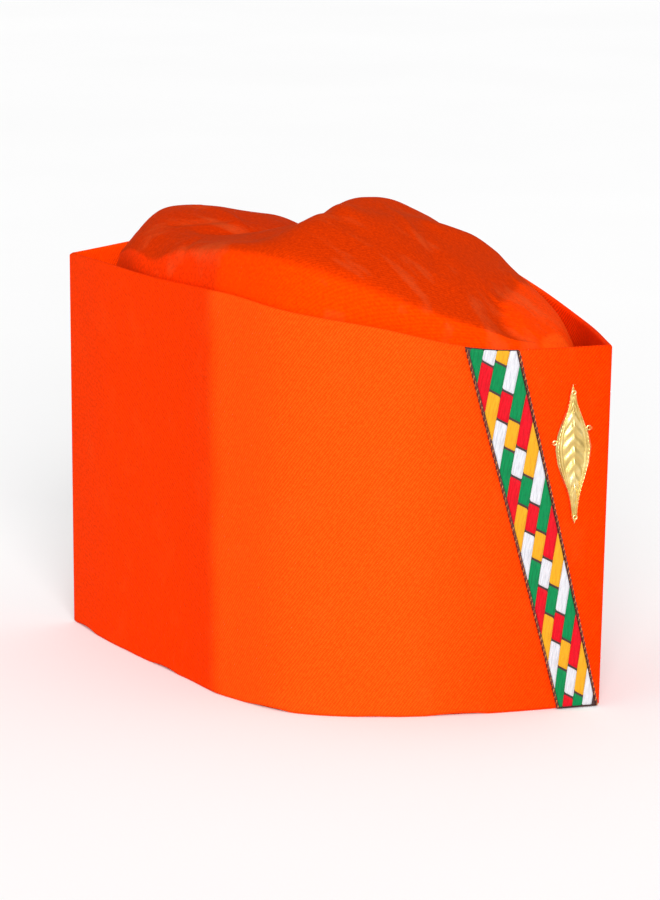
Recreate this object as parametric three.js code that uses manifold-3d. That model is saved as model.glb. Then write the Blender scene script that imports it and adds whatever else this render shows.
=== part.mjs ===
// A boat-shaped hill cap: a tall cuff folded up round an inner band, a soft crown puffed up
// between them, a slanted woven braid near the front tip and a stamped brooch beside it.
// Millimetres. +X points to the front tip, -Y to the braided side and +Z up from the hem.
import * as THREE from 'three';
import Module from 'manifold-3d';
import { mergeVertices } from 'three/addons/utils/BufferGeometryUtils.js';

// Driving dimensions
const capLength = 233;
const capHalfWidth = 71.5;
const cuffHeight = 146;
const cuffFrontLean = 4;
const cuffThickness = 2;
const bandThickness = 1.5;
const clothClearance = 0.3;

const crownRise = 29;
const crownThickness = 1.5;
const crownSkirtDepth = 16;
const crownEdgeDepth = 3;
const crownLap = 8;
const rearPocket = 25;
const frontPocket = 28;

const braidThickness = 1.2;
const braidTopWidth = 19;
const braidFootWidth = 15.5;
const braidTopSetback = 33.5;
const braidFootSetback = 1;
const braidFootHeight = 0.4;

const broochLength = 49.5;
const broochWidth = 12.2;
const broochEdgeThickness = 0.8;
const broochRelief = 0.9;
const broochVeinHeight = 0.25;
const broochSetback = 13.2;
const broochCentreHeight = 92;
const broochTilt = THREE.MathUtils.degToRad(1.2);
const broochEyeletRadius = 1.35;
const broochHoleRadius = 0.45;

// How finely the surfaces are divided
const lengthSteps = 36;
const wallSteps = 3;
const bandSteps = 4;
const crownSteps = 16;
const braidRows = 14;
const braidColumns = 4;
const broochRows = 30;
const outlineSamples = 240;
const weldDistance = 1e-4;

// Plan of the hem and height of the cuff, in equal steps from the rear tip to the front tip.
// near and far are shares of capHalfWidth, nearTop and farTop are shares of cuffHeight.
const planTable = [
  { near: 0, far: 0, nearTop: 0.984, farTop: 0.984 },
  { near: 0.263, far: 0.386, nearTop: 0.989, farTop: 1.03 },
  { near: 0.487, far: 0.685, nearTop: 0.99, farTop: 1.035 },
  { near: 0.691, far: 0.898, nearTop: 0.994, farTop: 1.03 },
  { near: 0.885, far: 1, nearTop: 1, farTop: 1.02 },
  { near: 0.973, far: 0.958, nearTop: 0.982, farTop: 0.99 },
  { near: 0.82, far: 0.745, nearTop: 0.949, farTop: 0.952 },
  { near: 0.483, far: 0.503, nearTop: 0.893, farTop: 0.896 },
  { near: 0, far: 0, nearTop: 0.888, farTop: 0.888 },
];

// Height of the crown above the cuff's edge, in equal steps from its rear end to its front end.
// near and far are the shoulders, middle is the spine, all shares of crownRise.
const crownTable = [
  { near: 0.16, middle: 0.5, far: 0.2 },
  { near: 0.36, middle: 0.68, far: 0.14 },
  { near: 0.45, middle: 0.54, far: 0.12 },
  { near: 0.47, middle: 0.42, far: 0.12 },
  { near: 0.48, middle: 0.6, far: 0.12 },
  { near: 0.42, middle: 0.98, far: 0.1 },
  { near: 0.34, middle: 0.78, far: 0.16 },
  { near: 0.24, middle: 0.45, far: 0.12 },
  { near: 0.12, middle: 0.11, far: 0.1 },
];

// Folds pressed into the crown, each from one place to another. Places are given along the crown,
// from -1 at its rear end to 1 at its front end, and across it, from -1 at the near wall to 1 at
// the far wall. width is a share of half the crown, depth a share of crownRise.
const crownFolds = [
  { fromAlong: 0.66, fromAcross: 0.5, toAlong: 0.82, toAcross: -0.8, width: 0.12, depth: 0.2 },
  { fromAlong: -0.12, fromAcross: 0.35, toAlong: -0.3, toAcross: -0.65, width: 0.14, depth: 0.1 },
  { fromAlong: -0.86, fromAcross: -0.2, toAlong: -0.66, toAcross: -0.72, width: 0.12, depth: 0.14 },
];

// Outline of the brooch from its top tip down: down is a share of broochLength, half a share
// of half its width.
const broochOutline = [
  { down: 0, half: 0 },
  { down: 0.06, half: 0.16 },
  { down: 0.13, half: 0.23 },
  { down: 0.2, half: 0.41 },
  { down: 0.28, half: 0.66 },
  { down: 0.36, half: 0.88 },
  { down: 0.46, half: 1 },
  { down: 0.57, half: 0.89 },
  { down: 0.67, half: 0.65 },
  { down: 0.76, half: 0.4 },
  { down: 0.84, half: 0.25 },
  { down: 0.91, half: 0.18 },
  { down: 0.97, half: 0.16 },
  { down: 1, half: 0 },
];

// Relief across the brooch from its centre line out: out is a share of half its width, rise a
// share of broochRelief. A rib, a leaf field with veins, a groove and a raised rim.
const broochProfile = [
  { out: 0, rise: 1, vein: 0 },
  { out: 0.16, rise: 0.55, vein: 0.6 },
  { out: 0.42, rise: 0.6, vein: 1 },
  { out: 0.62, rise: 0.3, vein: 0.3 },
  { out: 0.72, rise: 0.1, vein: 0 },
  { out: 0.86, rise: 0.75, vein: 0 },
  { out: 1, rise: 0, vein: 0 },
];
const broochVeins = 6;

// Eyelets of the brooch: side is -1 at the rear, 1 at the front, 0 on the centre line, and down
// a share of broochLength.
const broochEyelets = [
  { side: 0, down: 0.055 },
  { side: -1, down: 0.41 },
  { side: 1, down: 0.32 },
  { side: 0, down: 0.955 },
];

const nearSide = -1;
const farSide = 1;
const halfLength = capLength / 2;

const clothMaterial = (color, roughness) => new THREE.MeshStandardMaterial({
  color,
  roughness,
  metalness: 0,
  side: THREE.DoubleSide,
});

// Smooth value of a column, at a share of the way through a table with equally spaced rows.
function columnAt(table, column, share) {
  const last = table.length - 1;
  const place = THREE.MathUtils.clamp(share, 0, 1) * last;
  const row = Math.min(Math.floor(place), last - 1);
  const value = (index) => {
    if (index < 0) {
      return 2 * table[0][column] - table[1][column];
    }
    if (index > last) {
      return 2 * table[last][column] - table[last - 1][column];
    }
    return table[index][column];
  };
  const [before, start, end, after] = [row - 1, row, row + 1, row + 2].map(value);
  const part = place - row;
  const bend = 2 * before - 5 * start + 4 * end - after;
  const twist = 3 * (start - end) + after - before;
  return start + 0.5 * part * (end - before + part * (bend + part * twist));
}

// Value of one column where another column, which only grows, has the given key.
function lookUp(table, keyColumn, key, column) {
  const row = Math.max(1, table.findIndex((entry) => entry[keyColumn] >= key));
  const [low, high] = [table[row - 1], table[row]];
  const part = (key - low[keyColumn]) / (high[keyColumn] - low[keyColumn]);
  return THREE.MathUtils.lerp(low[column], high[column], part);
}

const shareOfLength = (x) => (x + halfLength) / capLength;

// Half width of the hem's outer line at x, on one side of the centre line.
function halfWidthAt(side, x) {
  const column = side === nearSide ? 'near' : 'far';
  return capHalfWidth * columnAt(planTable, column, shareOfLength(x));
}

// Height of the cuff's top edge at x.
function cuffTop(side, x) {
  const column = side === nearSide ? 'nearTop' : 'farTop';
  return cuffHeight * columnAt(planTable, column, shareOfLength(x));
}

function slopeAt(side, x) {
  const step = capLength / outlineSamples;
  const rear = Math.max(-halfLength, x - step);
  const front = Math.min(halfLength, x + step);
  return (halfWidthAt(side, front) - halfWidthAt(side, rear)) / (front - rear);
}

// Length of the wall per millimetre along the cap.
const stretchAt = (side, x) => Math.hypot(1, slopeAt(side, x));

// How far a tip draws back when both walls are set in by the same amount.
function tipDrawback(tip, inset) {
  const stretch = stretchAt(nearSide, tip) + stretchAt(farSide, tip);
  const opening = Math.abs(slopeAt(nearSide, tip) + slopeAt(farSide, tip));
  return inset * stretch / opening;
}

// Place on the line that runs inset from the hem's outer line. along goes from -1 at the rear
// tip to 1 at the front tip, and the pockets shorten the line at its ends.
function planPoint(side, along, inset, pockets) {
  const rear = -halfLength + tipDrawback(-halfLength, inset) + pockets.rear;
  const front = halfLength - tipDrawback(halfLength, inset) - pockets.front;
  const x = THREE.MathUtils.lerp(rear, front, (along + 1) / 2);
  const width = (wall) => halfWidthAt(wall, x) - inset * stretchAt(wall, x);
  if (Math.abs(along) === 1) {
    return new THREE.Vector2(x, (width(farSide) - width(nearSide)) / 2);
  }
  return new THREE.Vector2(x, side * width(side));
}

const noPockets = { rear: 0, front: 0 };
const crownPockets = { rear: rearPocket, front: frontPocket };

// Rounds the ends of the crown: 1 along the middle, falling to 0 at both ends.
const roundedEnd = (share) => Math.sqrt(Math.max(0, 1 - share ** 6));

// Line of the crown's skirt, which stands back from both tips of the cap and is round there.
function roundedPoint(side, along, inset) {
  const point = planPoint(side, along, inset, crownPockets);
  point.y *= roundedEnd(along);
  return point;
}

// The whole wall leans out towards the front tip.
function leaned(point, height) {
  const share = Math.max(0, point.x / halfLength) ** 3;
  const lean = cuffFrontLean * share * height / cuffHeight;
  return new THREE.Vector3(point.x + lean, point.y, height);
}

const stations = Array.from({ length: lengthSteps + 1 }, (_, step) => {
  const even = 2 * step / lengthSteps - 1;
  const gathered = Math.sin(even * Math.PI / 2);
  return step === 0 || step === lengthSteps ? even : (even + gathered) / 2;
});

// Builds one closed body from grids of points whose edges meet.
function bodyFromGrids(grids) {
  const positions = [];
  const triangles = [];
  const known = new Map();
  const vertexOf = (point) => {
    const key = point.toArray().map((value) => Math.round(value / weldDistance)).join();
    if (!known.has(key)) {
      known.set(key, positions.length / 3);
      positions.push(point.x, point.y, point.z);
    }
    return known.get(key);
  };
  const addTriangle = (a, b, c) => {
    if (a !== b && b !== c && c !== a) {
      triangles.push(a, b, c);
    }
  };
  for (const grid of grids) {
    const rows = grid.map((row) => row.map(vertexOf));
    for (let row = 1; row < rows.length; row += 1) {
      for (let column = 1; column < rows[row].length; column += 1) {
        const [a, b] = [rows[row - 1][column - 1], rows[row][column - 1]];
        const [c, d] = [rows[row][column], rows[row - 1][column]];
        addTriangle(a, b, c);
        addTriangle(a, c, d);
      }
    }
  }
  const geometry = new THREE.BufferGeometry();
  geometry.setAttribute('position', new THREE.Float32BufferAttribute(positions, 3));
  geometry.setIndex(signedVolume(positions, triangles) < 0 ? triangles.reverse() : triangles);
  geometry.computeVertexNormals();
  return geometry;
}

function signedVolume(positions, triangles) {
  const corner = (index) => new THREE.Vector3().fromArray(positions, 3 * triangles[index]);
  let volume = 0;
  for (let index = 0; index < triangles.length; index += 3) {
    volume += corner(index).dot(corner(index + 1).cross(corner(index + 2))) / 6;
  }
  return volume;
}

// A closed ring of wall: sectionAt gives the points of its cross-section, in order round it.
function ringBody(sectionAt) {
  const near = stations.map((along) => sectionAt(nearSide, along));
  const far = stations.slice(1, -1).reverse().map((along) => sectionAt(farSide, along));
  const sections = [...near, ...far, near[0]];
  return bodyFromGrids([sections.map((section) => [...section, section[0]])]);
}

// A shell between two grids of the same size, closed along their edges. The end rows are
// closed too where they are rows of separate points.
function shellBody(outer, inner, closeEnds) {
  const last = outer.length - 1;
  const edgeOf = (grid) => {
    const near = grid.map((row) => row[0]);
    const far = grid.map((row) => row[row.length - 1]).reverse();
    const frontEnd = closeEnds ? grid[last].slice(1, -1) : [];
    const rearEnd = closeEnds ? grid[0].slice(1, -1).reverse() : [];
    return [...near, ...frontEnd, ...far, ...rearEnd, near[0]];
  };
  const rim = [edgeOf(outer), edgeOf(inner)];
  return bodyFromGrids([outer, inner.map((row) => [...row].reverse()), rim]);
}

// Cuff: the tall outer wall from the hem to its folded top edge.
function cuffSection(side, along) {
  const levels = Array.from({ length: wallSteps + 1 }, (_, level) => level / wallSteps);
  const face = (inset) => levels.map((level) => {
    const point = planPoint(side, along, inset, noPockets);
    return leaned(point, level * cuffTop(side, point.x));
  });
  return [...face(0), ...face(cuffThickness).reverse()];
}

// Crown: the soft top, whose skirt goes down between the cuff and the inner band.
const skirtInset = cuffThickness + clothClearance;

// Height of the cuff's edge that the crown sits in. across goes from -1 at the near wall to 1 at
// the far wall, and at the crown's ends both walls count the same.
function crownSeat(along, across, x) {
  const [near, far] = [cuffTop(nearSide, x), cuffTop(farSide, x)];
  return (near + far) / 2 + across * roundedEnd(along) * (far - near) / 2;
}

const skirtFoot = (along, side, x) => crownSeat(along, side, x) - crownSkirtDepth;

function foldDepth(along, across) {
  const place = new THREE.Vector3(along, across, 0);
  const depths = crownFolds.map((fold) => {
    const from = new THREE.Vector3(fold.fromAlong, fold.fromAcross, 0);
    const line = new THREE.Line3(from, new THREE.Vector3(fold.toAlong, fold.toAcross, 0));
    const nearest = line.closestPointToPoint(place, true, new THREE.Vector3());
    return fold.depth * Math.exp(-((nearest.distanceTo(place) / fold.width) ** 2));
  });
  return crownRise * Math.max(...depths);
}

function crownHeight(along, across, x, lowered) {
  const share = (along + 1) / 2;
  const [near, middle, far] = ['near', 'middle', 'far'].map(
    (column) => columnAt(crownTable, column, share) * crownRise,
  );
  const tilt = (far - near) / 2;
  const arch = (far + near) / 2 - middle;
  const smooth = middle + across * (tilt + across * arch) + crownEdgeDepth;
  const puff = smooth - foldDepth(along, across) - lowered;
  const edge = crownSeat(along, across, x) - crownEdgeDepth;
  return edge + puff * roundedEnd(across) * roundedEnd(along);
}

function crownRow(along, inset, lowered) {
  const edge = (side) => roundedPoint(side, along, inset);
  const [near, far] = [edge(nearSide), edge(farSide)];
  const middle = (near.y + far.y) / 2;
  const half = (far.y - near.y) / 2;
  const foot = (side, point) => leaned(point, skirtFoot(along, side, point.x));
  const top = Array.from({ length: crownSteps + 1 }, (_, step) => {
    const across = Math.sin((step / crownSteps - 0.5) * Math.PI);
    const point = new THREE.Vector2(near.x, middle + half * across);
    return leaned(point, crownHeight(along, across, near.x, lowered));
  });
  return [foot(nearSide, near), ...top, foot(farSide, far)];
}

function crownGeometry() {
  const outer = stations.map((along) => crownRow(along, skirtInset, 0));
  const inner = stations.map(
    (along) => crownRow(along, skirtInset + crownThickness, crownThickness),
  );
  return shellBody(outer, inner, false);
}

// Inner band: follows the cuff from the hem up, draws in from its tips on the way and ends
// inside the crown's skirt.
function bandSection(side, along) {
  const lowInset = cuffThickness + clothClearance;
  const highInset = skirtInset + crownThickness + clothClearance;
  const levels = Array.from({ length: bandSteps + 1 }, (_, level) => level / bandSteps);
  const face = (depth) => {
    const low = planPoint(side, along, lowInset + depth, noPockets);
    const high = roundedPoint(side, along, highInset + depth);
    const rise = levels.map((level) => {
      const point = low.clone().lerp(high, level ** 2);
      const sewingLine = skirtFoot(along, side, point.x) - clothClearance;
      return leaned(point, level * sewingLine);
    });
    return [...rise, leaned(high, skirtFoot(along, side, high.x) + crownLap)];
  };
  return [...face(0), ...face(bandThickness).reverse()];
}

// The near wall from the front tip back: setback is the distance walked along its outer line.
const nearWall = [{ setback: 0, x: halfLength }];
for (let sample = 1; sample <= outlineSamples; sample += 1) {
  const { setback, x } = nearWall[sample - 1];
  const next = x - capLength / outlineSamples;
  const rise = halfWidthAt(nearSide, next) - halfWidthAt(nearSide, x);
  nearWall.push({ setback: setback + Math.hypot(x - next, rise), x: next });
}

// A point that stands out from the near wall's outer face.
function onNearWall(setback, heightShare, standoff) {
  const x = lookUp(nearWall, 'setback', setback, 'x');
  const slope = slopeAt(nearSide, x);
  const outward = new THREE.Vector2(-slope, -1).normalize();
  const foot = new THREE.Vector2(x, -halfWidthAt(nearSide, x));
  const height = heightShare * cuffTop(nearSide, x);
  const outside = leaned(foot, height);
  outside.x += outward.x * standoff;
  outside.y += outward.y * standoff;
  return outside;
}

// Braid: a woven strip laid slantwise on the near wall, from the top edge down to the hem.
function braidGrid(standoff) {
  const { lerp } = THREE.MathUtils;
  return Array.from({ length: braidRows + 1 }, (_, row) => {
    const down = row / braidRows;
    const front = lerp(braidTopSetback, braidFootSetback, down);
    const width = lerp(braidTopWidth, braidFootWidth, down);
    const heightShare = lerp(1, braidFootHeight / cuffHeight, down);
    return Array.from({ length: braidColumns + 1 }, (__, column) => {
      const setback = front + width * column / braidColumns;
      return onNearWall(setback, heightShare, standoff);
    });
  });
}

const braidGeometry = () => shellBody(
  braidGrid(clothClearance + braidThickness),
  braidGrid(clothClearance),
  true,
);

// Brooch: a pointed leaf-shaped plate with a raised rim, a ribbed leaf and four eyelets.
// It is drawn flat with x across, y up and z out from the cap, then stood against the wall.
function broochHeight(entry, down) {
  const wave = Math.cos(2 * Math.PI * (broochVeins * down - entry.out));
  return broochEdgeThickness + broochRelief * entry.rise + broochVeinHeight * entry.vein * wave;
}

function broochGrid(raised) {
  const mirrored = [...broochProfile].reverse().map((entry) => ({ ...entry, sign: -1 }));
  const columns = [...mirrored, ...broochProfile.slice(1).map((entry) => ({ ...entry, sign: 1 }))];
  return Array.from({ length: broochRows + 1 }, (_, row) => {
    const down = row / broochRows;
    const half = lookUp(broochOutline, 'down', down, 'half') * broochWidth / 2;
    const y = broochLength * (0.5 - down);
    return columns.map((entry) => {
      const z = half > 0 ? broochHeight(entry, down) : broochEdgeThickness;
      return new THREE.Vector3(entry.sign * entry.out * half, y, raised ? z : 0);
    });
  });
}

const wasm = await Module();
wasm.setup();

function solidOf(geometry) {
  const bare = geometry.clone();
  bare.deleteAttribute('normal');
  bare.deleteAttribute('uv');
  const merged = mergeVertices(bare);
  return new wasm.Manifold(new wasm.Mesh({
    numProp: 3,
    vertProperties: new Float32Array(merged.attributes.position.array),
    triVerts: new Uint32Array(merged.index.array),
  }));
}

function geometryOf(solid) {
  const mesh = solid.getMesh();
  const geometry = new THREE.BufferGeometry();
  geometry.setAttribute('position', new THREE.BufferAttribute(mesh.vertProperties, 3));
  geometry.setIndex(new THREE.BufferAttribute(mesh.triVerts, 1));
  geometry.computeVertexNormals();
  return geometry;
}

// A round disc whose flat faces point along z.
function discAt(x, y, radius, bottom, top, sides) {
  const disc = new THREE.CylinderGeometry(radius, radius, top - bottom, sides);
  disc.rotateX(Math.PI / 2);
  disc.translate(x, y, (top + bottom) / 2);
  return solidOf(disc);
}

function broochGeometry() {
  const eyeletSides = 14;
  const holeSides = 10;
  const eyeletTop = broochEdgeThickness + broochRelief / 2;
  const through = 2 * broochRelief;
  let plate = solidOf(shellBody(broochGrid(true), broochGrid(false), false));
  for (const { side, down } of broochEyelets) {
    const half = lookUp(broochOutline, 'down', down, 'half') * broochWidth / 2;
    const x = side * (half + broochEyeletRadius / 2);
    const y = broochLength * (0.5 - down);
    const hole = discAt(x, y, broochHoleRadius, -through, eyeletTop + through, holeSides);
    if (side !== 0) {
      plate = plate.add(discAt(x, y, broochEyeletRadius, 0, eyeletTop, eyeletSides));
    }
    plate = plate.subtract(hole);
  }
  return geometryOf(plate);
}

// Stands the brooch against the near wall, just clear of the cloth, with a slight tilt.
function placeBrooch(mesh) {
  const x = lookUp(nearWall, 'setback', broochSetback, 'x');
  const share = broochCentreHeight / cuffTop(nearSide, x);
  const reach = broochLength / 2 / cuffTop(nearSide, x);
  const centre = onNearWall(broochSetback, share, clothClearance);
  const ahead = onNearWall(broochSetback - broochWidth / 2, share, clothClearance);
  const behind = onNearWall(broochSetback + broochWidth / 2, share, clothClearance);
  const above = onNearWall(broochSetback, share + reach, clothClearance);
  const below = onNearWall(broochSetback, share - reach, clothClearance);
  const across = ahead.sub(behind).normalize();
  const outward = across.clone().cross(above.sub(below)).normalize();
  const up = outward.clone().cross(across);
  mesh.applyMatrix4(new THREE.Matrix4().makeBasis(across, up, outward));
  mesh.position.copy(centre);
  mesh.rotateZ(broochTilt);
}

function addPiece(parent, name, geometry, material) {
  const mesh = new THREE.Mesh(geometry, material);
  mesh.name = name;
  parent.add(mesh);
  return mesh;
}

const cap = new THREE.Group();
addPiece(cap, 'cuff', ringBody(cuffSection), clothMaterial(0xf25412, 0.85));
addPiece(cap, 'inner_band', ringBody(bandSection), clothMaterial(0xe64a0c, 0.85));
addPiece(cap, 'crown', crownGeometry(), clothMaterial(0xd8440a, 0.85));
addPiece(cap, 'braid', braidGeometry(), clothMaterial(0xc41e2e, 0.5));
const broochMetal = new THREE.MeshStandardMaterial({ color: 0xcaa84e, roughness: 0.35, metalness: 1 });
placeBrooch(addPiece(cap, 'brooch', broochGeometry(), broochMetal));

// The origin is the bottom centre of the whole cap.
const bounds = new THREE.Box3().setFromObject(cap);
const centre = bounds.getCenter(new THREE.Vector3());
cap.position.set(-centre.x, -centre.y, -bounds.min.z);

export default cap;
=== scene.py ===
"""Looks of a boat-shaped hill cap: orange twill cuff, inner band and soft crown, a slanted
braid of satin checks with twisted edge cords, and a stamped gold brooch sewn on beside it."""

import math

import bmesh
import bpy
import numpy as np
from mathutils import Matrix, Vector, noise


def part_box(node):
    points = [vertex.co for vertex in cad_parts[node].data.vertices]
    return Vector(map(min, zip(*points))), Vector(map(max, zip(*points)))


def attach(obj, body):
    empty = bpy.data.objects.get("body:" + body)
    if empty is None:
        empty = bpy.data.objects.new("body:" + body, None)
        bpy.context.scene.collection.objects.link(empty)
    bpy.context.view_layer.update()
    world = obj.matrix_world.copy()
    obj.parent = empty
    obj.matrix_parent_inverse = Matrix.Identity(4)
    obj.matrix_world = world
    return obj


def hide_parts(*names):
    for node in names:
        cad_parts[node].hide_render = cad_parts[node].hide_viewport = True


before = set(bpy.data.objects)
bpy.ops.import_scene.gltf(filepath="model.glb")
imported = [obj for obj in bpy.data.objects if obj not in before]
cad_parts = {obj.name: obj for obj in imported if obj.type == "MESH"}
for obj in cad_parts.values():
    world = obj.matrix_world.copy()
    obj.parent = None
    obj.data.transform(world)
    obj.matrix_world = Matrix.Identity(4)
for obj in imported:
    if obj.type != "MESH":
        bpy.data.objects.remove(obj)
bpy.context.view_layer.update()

# Sizes of the cap in metres, the same as the solids' apart from the brooch's width
MM = 0.001
CUFF_LOW, CUFF_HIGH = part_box("cuff")
FRONT_LEAN = 4 * MM
FRONT_TIP_HEIGHT = 0.888
CAP_LENGTH = CUFF_HIGH.x - CUFF_LOW.x - FRONT_LEAN * FRONT_TIP_HEIGHT
HALF_LENGTH = CAP_LENGTH / 2
HALF_WIDTH = 71.5 * MM
CUFF_HEIGHT = 146 * MM
CUFF_THICKNESS = 2 * MM
BAND_THICKNESS = 1.5 * MM
CROWN_THICKNESS = 1.5 * MM
CLEARANCE = 0.3 * MM
CROWN_RISE = 29 * MM
SKIRT_DEPTH = 16 * MM
EDGE_DEPTH = 3 * MM
CROWN_LAP = 8 * MM
REAR_POCKET = 25 * MM
FRONT_POCKET = 28 * MM
BRAID_TOP_WIDTH = 19 * MM
BRAID_FOOT_WIDTH = 15.5 * MM
BRAID_TOP_SETBACK = 33.5 * MM
BRAID_FOOT_SETBACK = 1 * MM
BROOCH_LENGTH = 49.5 * MM
BROOCH_WIDTH = 13.3 * MM
BROOCH_SETBACK = 13.2 * MM
BROOCH_CENTRE_HEIGHT = 92 * MM
BROOCH_TILT = math.radians(1.2)
END_POWER = 6
LEAN_POWER = 3

NEAR, FAR = -1, 1
SIDE_NAMES = {NEAR: "near", FAR: "far"}
TURN = 2 * math.pi

# Plan of the hem and height of the cuff's edge, as shares of the cap's half width and of the
# cuff's height, in equal steps from the rear tip to the front tip
PLAN = {
    "near": [0, 0.263, 0.487, 0.691, 0.885, 0.973, 0.82, 0.483, 0],
    "far": [0, 0.386, 0.685, 0.898, 1, 0.958, 0.745, 0.503, 0],
    "near_top": [0.984, 0.989, 0.99, 0.994, 1, 0.982, 0.949, 0.893, FRONT_TIP_HEIGHT],
    "far_top": [0.984, 1.03, 1.035, 1.03, 1.02, 0.99, 0.952, 0.896, FRONT_TIP_HEIGHT],
}

# Height of the crown over the cuff's edge, as shares of its rise, in equal steps from its rear
# end to its front end
CROWN = {
    "near": [0.16, 0.33, 0.42, 0.48, 0.56, 0.6, 0.53, 0.32, 0.02],
    "middle": [0.5, 0.68, 0.54, 0.42, 0.6, 0.98, 0.78, 0.45, 0.11],
    "far": [0.2, 0.14, 0.12, 0.12, 0.12, 0.1, 0.16, 0.12, 0.1],
}


def column_at(values, share):
    """Smooth value of a column of equally spaced rows, at shares of the way through it."""
    values = np.asarray(values, float)
    last = len(values) - 1
    first_ghost = 2 * values[0] - values[1]
    last_ghost = 2 * values[-1] - values[-2]
    rows = np.concatenate([[first_ghost], values, [last_ghost]])
    place = np.clip(share, 0, 1) * last
    row = np.clip(np.floor(place).astype(int), 0, last - 1)
    part = place - row
    before, start, end, after = (rows[row + k] for k in range(4))
    bend = 2 * before - 5 * start + 4 * end - after
    twist = 3 * (start - end) + after - before
    return start + 0.5 * part * (end - before + part * (bend + part * twist))


def half_width(side, x):
    return HALF_WIDTH * column_at(PLAN[SIDE_NAMES[side]], (x + HALF_LENGTH) / CAP_LENGTH)


def cuff_top(side, x):
    heights = PLAN[SIDE_NAMES[side] + "_top"]
    return CUFF_HEIGHT * column_at(heights, (x + HALF_LENGTH) / CAP_LENGTH)


# Where the cap's own origin, halfway between its tips, lies in the part's frame
SAMPLES = np.linspace(-HALF_LENGTH, HALF_LENGTH, 401)
NEAR_WIDTH = half_width(NEAR, SAMPLES).max()
SHIFT = np.array([CUFF_LOW.x + HALF_LENGTH, CUFF_LOW.y + NEAR_WIDTH, 0.0])


def slope(side, x):
    """How fast a wall's half width grows towards the front."""
    step = CAP_LENGTH / 240
    rear = np.maximum(-HALF_LENGTH, x - step)
    front = np.minimum(HALF_LENGTH, x + step)
    return (half_width(side, front) - half_width(side, rear)) / (front - rear)


def stretch(side, x):
    """Length of a slanted wall's line for each metre of the cap's length."""
    return np.hypot(1, slope(side, x))


def tip_drawback(tip, inset):
    """How far the tip of a line that runs inset from the hem's line draws back."""
    total = stretch(NEAR, tip) + stretch(FAR, tip)
    opening = abs(slope(NEAR, tip) + slope(FAR, tip))
    return inset * total / opening


def plan_point(side, along, inset, pockets=(0.0, 0.0)):
    """x and y on the line that runs inset from the hem's outer line, short of it by the
    pockets at the rear and the front tip. Along runs from -1 at the rear to 1 at the front."""
    rear = -HALF_LENGTH + tip_drawback(-HALF_LENGTH, inset) + pockets[0]
    front = HALF_LENGTH - tip_drawback(HALF_LENGTH, inset) - pockets[1]
    x = rear + (front - rear) * (along + 1) / 2
    width = {wall: half_width(wall, x) - inset * stretch(wall, x) for wall in (NEAR, FAR)}
    tip = np.abs(along) >= 1
    y = np.where(tip, (width[FAR] - width[NEAR]) / 2, side * width[side])
    return x, y


def rounded_end(share):
    """1 in the middle and 0 at both ends, with a round turn."""
    return np.sqrt(np.clip(1 - np.abs(share) ** END_POWER, 0, 1))


def rounded_point(side, along, inset):
    """x and y on the rounded line of the crown and of the inner band's upper edge."""
    x, y = plan_point(side, along, inset, (REAR_POCKET, FRONT_POCKET))
    return x, y * rounded_end(along)


def leaned(x, y, z):
    """Adds the lean of the front tip and moves the point into the part's frame."""
    lean = FRONT_LEAN * np.clip(x / HALF_LENGTH, 0, None) ** LEAN_POWER * z / CUFF_HEIGHT
    x, y, z = np.broadcast_arrays(x + lean, y, z)
    return np.stack([x, y, z], -1) + SHIFT


def gathered_steps(count):
    """Steps from -1 to 1 that lie closer together towards both ends."""
    even = np.linspace(-1, 1, count + 1)
    mixed = (even + np.sin(even * math.pi / 2)) / 2
    mixed[0], mixed[-1] = -1, 1
    return mixed


def soft_noise(points, height, size, seed):
    """Smooth noise up to about a height above and below 0, for an array of points in metres."""
    flat = points.reshape(-1, 3) / size
    values = [noise.noise(Vector(p) + Vector((seed, 2 * seed, 3 * seed))) for p in flat]
    return height * np.array(values).reshape(points.shape[:-1])


def bump_at(u, v, place, size):
    """A smooth bump of height 1 at a place, with its half width along u and along v."""
    return np.exp(-((u - place[0]) / size[0]) ** 2 - ((v - place[1]) / size[1]) ** 2)


# Meshes
JOIN_DISTANCE = 0.002 * MM
SHORTEST_EDGE = 0.001 * MM


def clean(mesh):
    """Joins points that coincide, drops faces without area and turns all faces outwards."""
    work = bmesh.new()
    work.from_mesh(mesh)
    bmesh.ops.remove_doubles(work, verts=work.verts, dist=JOIN_DISTANCE)
    bmesh.ops.dissolve_degenerate(work, edges=work.edges, dist=SHORTEST_EDGE)
    bmesh.ops.recalc_face_normals(work, faces=work.faces)
    work.to_mesh(mesh)
    work.free()


def mesh_object(name, vertices, faces, uvs=None, shares=(), smooth=True):
    """Makes an object from its vertices, a list of faces, one uv for each vertex and named
    attributes with one share for each vertex."""
    mesh = bpy.data.meshes.new(name)
    mesh.from_pydata(np.reshape(vertices, (-1, 3)).tolist(), [], faces)
    if uvs is not None:
        layer = mesh.uv_layers.new(name="cloth")
        corner_vertices = np.empty(len(mesh.loops), int)
        mesh.loops.foreach_get("vertex_index", corner_vertices)
        layer.data.foreach_set("uv", np.reshape(uvs, (-1, 2))[corner_vertices].ravel())
    for attribute, values in shares:
        layer = mesh.attributes.new(attribute, "FLOAT", "POINT")
        layer.data.foreach_set("value", np.ravel(values))
    mesh.polygons.foreach_set("use_smooth", [smooth] * len(mesh.polygons))
    mesh.validate()
    clean(mesh)
    made = bpy.data.objects.new(name, mesh)
    bpy.context.collection.objects.link(made)
    return made


def grid_faces(grid, wrap_rows=False, wrap_columns=False):
    """Quads of a grid of points that are numbered row by row."""
    rows, columns = grid.shape[:2]
    faces = []
    for row in range(rows if wrap_rows else rows - 1):
        start = row * columns
        below = (row + 1) % rows * columns
        for column in range(columns if wrap_columns else columns - 1):
            right = (column + 1) % columns
            faces.append((start + column, below + column, below + right, start + right))
    return faces


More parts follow.
